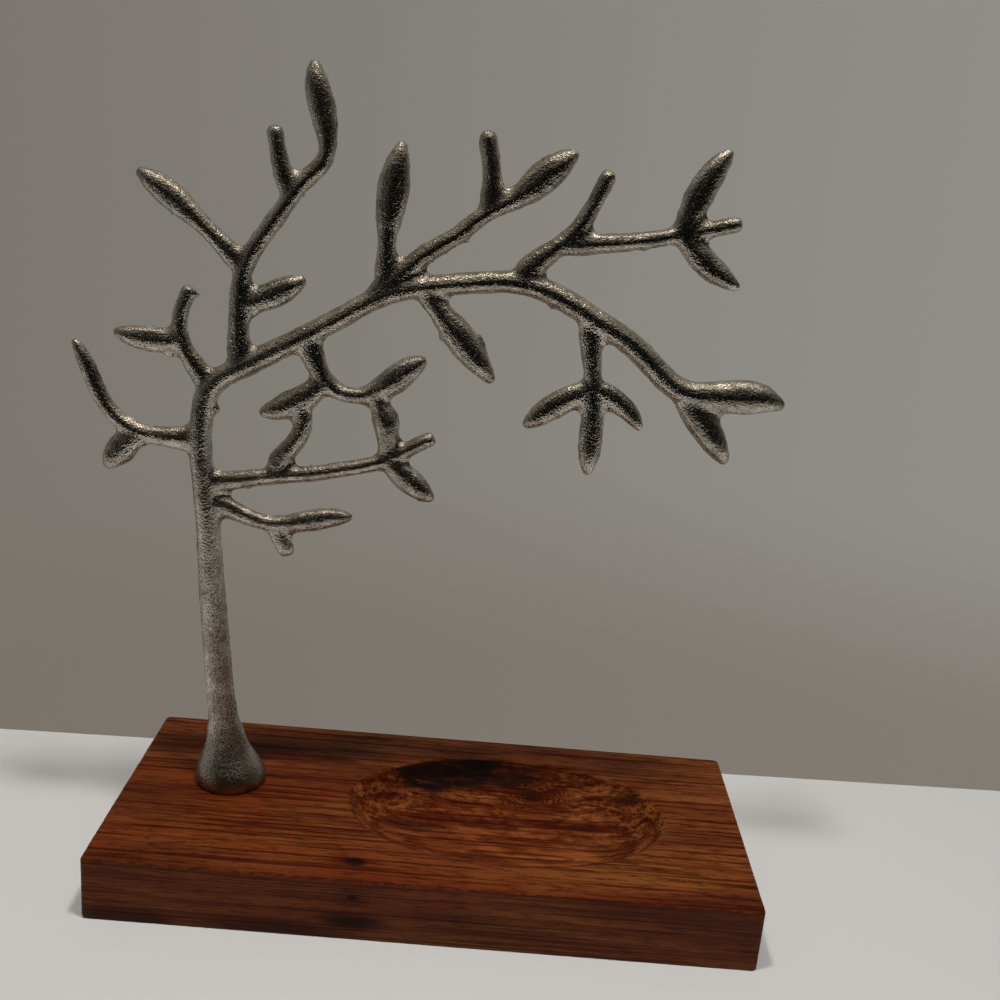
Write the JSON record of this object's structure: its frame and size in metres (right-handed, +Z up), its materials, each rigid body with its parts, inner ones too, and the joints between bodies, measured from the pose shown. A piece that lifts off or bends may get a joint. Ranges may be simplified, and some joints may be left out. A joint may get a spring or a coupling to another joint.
{
  "type": "jewelry tree",
  "caption": "Flat cast-metal tree with bud-shaped leaves on a hardwood block with a carved oval ring dish; holds necklaces, bracelets and rings.",
  "frame": {"origin": "middle of the block's underside, where it rests on the table", "axes": "+X along the block from the tree's foot to the dish, +Y across the block away from the viewer, +Z up"},
  "size_m": [0.2757, 0.114, 0.3109],
  "materials": {
    "oiled_hardwood": "oiled, fine dark grain along the block",
    "cast_metal": "sand-cast with a nickel tone, lightly polished",
    "plated_steel": "bright plated"
  },
  "bodies": {
    "root": {"wood_base": "oiled_hardwood", "cast_tree": "cast_metal", "fixing_screw": "plated_steel", "flat_washer": "plated_steel"}
  },
  "joints": []
}
